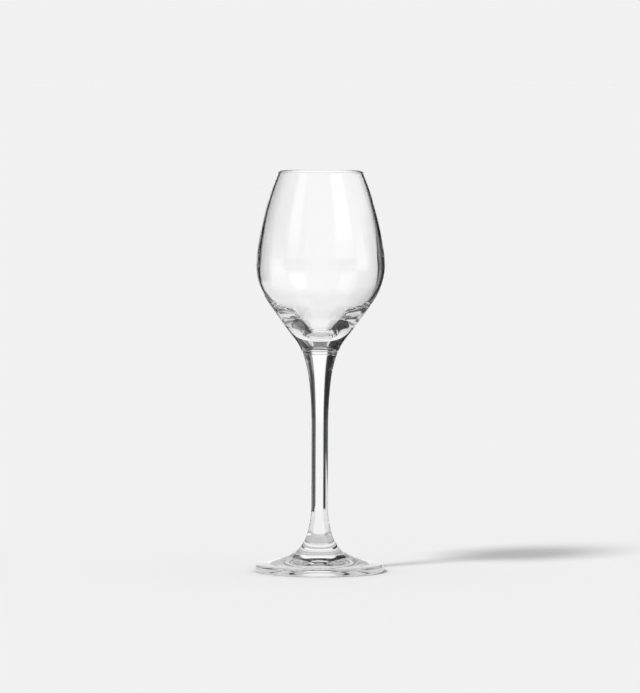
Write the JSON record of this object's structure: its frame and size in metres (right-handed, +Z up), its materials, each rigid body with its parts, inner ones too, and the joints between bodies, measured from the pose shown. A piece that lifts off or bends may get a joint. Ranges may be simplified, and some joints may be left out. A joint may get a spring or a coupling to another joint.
{
  "type": "liqueur glass",
  "caption": "Small stemmed drinking glass in clear glass: tulip bowl with a funnel-shaped hollow and a thick solid base, slim stem flared at both ends and a round foot.",
  "frame": {"origin": "centre of the flat ring under the foot, on the surface that the glass stands on", "axes": "+Z up along the glass's own axis, from the foot to the rim; +X and +Y lie in the standing surface, and the glass looks the same all round"},
  "size_m": [0.0532, 0.0532, 0.165],
  "materials": {
    "clear_glass": "clear, fire-polished"
  },
  "bodies": {
    "root": {"bowl": "clear_glass", "stem": "clear_glass", "foot": "clear_glass"}
  },
  "joints": []
}
